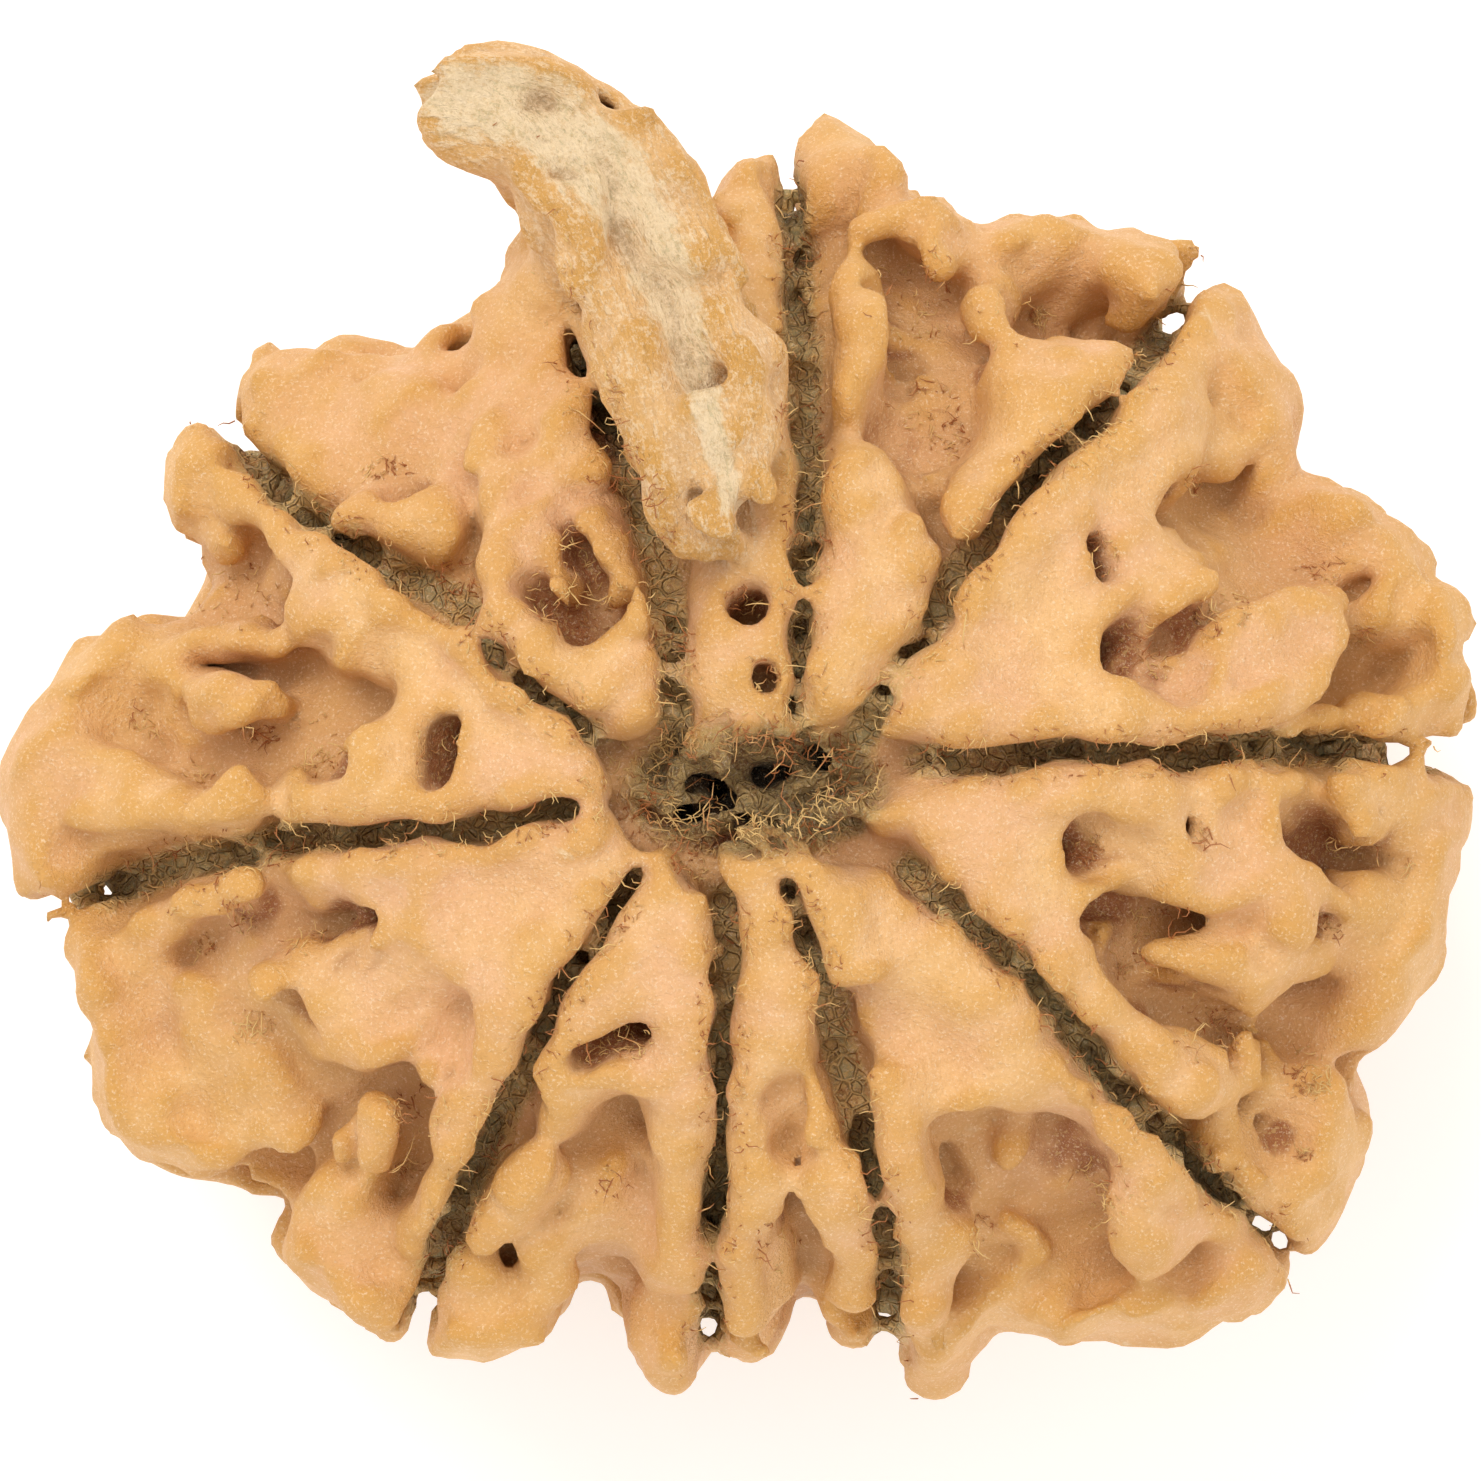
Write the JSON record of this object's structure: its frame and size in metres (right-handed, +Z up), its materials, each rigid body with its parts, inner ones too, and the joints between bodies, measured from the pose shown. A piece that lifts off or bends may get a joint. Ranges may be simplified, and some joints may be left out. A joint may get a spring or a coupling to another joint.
{
  "type": "rudraksha seed",
  "caption": "Rounded woody seed with deep grooves running from a ragged central opening, knobbly raised relief between them and a curved outgrowth over the rim.",
  "frame": {"origin": "centre of the bounding box in plan, at the level of the flat spot that the seed rests on", "axes": "+Z up along the seed's own axis, through its central opening; +X along its longest width; +Y towards the outgrowth"},
  "size_m": [0.0296, 0.0272, 0.0217],
  "materials": {
    "seed": "satin"
  },
  "bodies": {
    "root": {"seed": "seed"}
  },
  "joints": []
}
